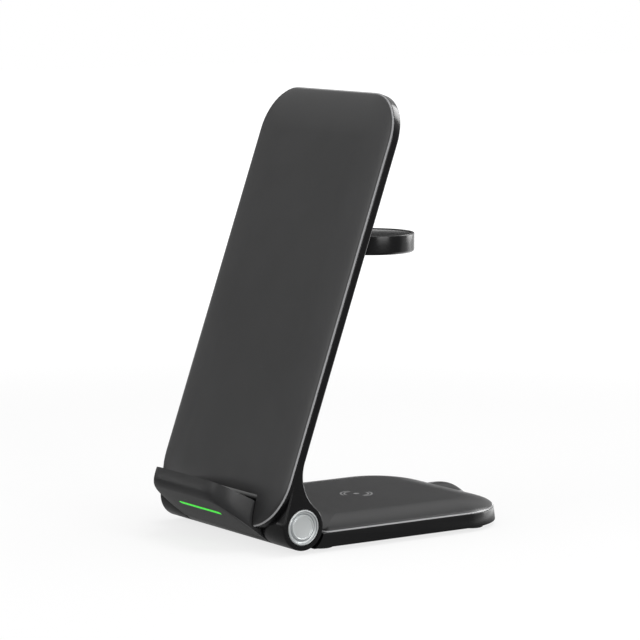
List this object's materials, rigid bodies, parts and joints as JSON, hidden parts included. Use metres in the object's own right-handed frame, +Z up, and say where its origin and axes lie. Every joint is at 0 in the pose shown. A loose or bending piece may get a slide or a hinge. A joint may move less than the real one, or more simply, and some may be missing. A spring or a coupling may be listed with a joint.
{
  "type": "foldable wireless charging stand",
  "caption": "Foldable wireless charging stand: leaning phone panel with a ledge, flat base pad for an earbud case, and a watch disc on an arm behind the panel.",
  "frame": {"origin": "centre of the footprint's box, on the desk", "axes": "+Z up, the phone faces -Y, the base runs back along +Y, +X is the right-hand side seen by the person in front of it"},
  "size_m": [0.076, 0.1141, 0.1462],
  "materials": {
    "shell_black": "polished",
    "frame_black": "polished",
    "skin_grey": "satin",
    "cover_grey": "satin",
    "ledge_grey": "satin",
    "back_black": "satin",
    "rubber": "matte",
    "pad": "matte",
    "steel": "satin",
    "plate_steel": "satin",
    "copper": "satin",
    "ferrite": "matte",
    "board": "satin",
    "light": "satin",
    "cap_silver": "satin",
    "pin_steel": "polished",
    "inlet_steel": "polished",
    "disc_black": "polished",
    "disc_face": "polished",
    "magnet": "polished"
  },
  "bodies": {
    "base": {"base_shell": "shell_black", "base_cover": "cover_grey", "port_hood": "cover_grey", "foot_front_left": "rubber", "foot_front_right": "rubber", "foot_rear_left": "rubber", "foot_rear_right": "rubber", "base_screws": "steel", "ballast": "plate_steel", "bud_coil": "copper", "bud_ferrite": "ferrite", "main_board": "board", "board_screws": "steel", "usb_inlet": "inlet_steel", "washer_left": "plate_steel", "washer_right": "plate_steel", "ledge": "ledge_grey", "ledge_pad": "pad", "ledge_fixings": "steel", "light_bar": "light", "light_board": "board"},
    "panel": {"panel_frame": "frame_black", "front_skin": "skin_grey", "back_cover": "back_black", "cover_fixings": "steel", "phone_coil_low": "copper", "phone_coil_high": "copper", "phone_ferrite": "ferrite", "panel_board": "board", "hinge_pin_left": "pin_steel", "hinge_pin_right": "pin_steel", "hinge_cap_left": "cap_silver", "hinge_cap_right": "cap_silver", "arm_bracket": "back_black", "bracket_screws": "steel", "arm_pin": "pin_steel"},
    "watch": {"watch_arm": "disc_black", "watch_lid": "disc_face", "watch_coil": "copper", "watch_ferrite": "ferrite", "watch_magnet": "magnet"}
  },
  "joints": [
    {"name": "panel_fold", "type": "hinge", "parent": "base", "child": "panel", "pos_m": [0, -0.03384, 0.0089], "axis": [1, 0, 0], "range_deg": [-70, 0]},
    {"name": "watch_flip", "type": "hinge", "parent": "panel", "child": "watch", "pos_m": [0, -0.00581, 0.0949], "axis": [1, 0, 0], "range_deg": [0, 70]}
  ]
}
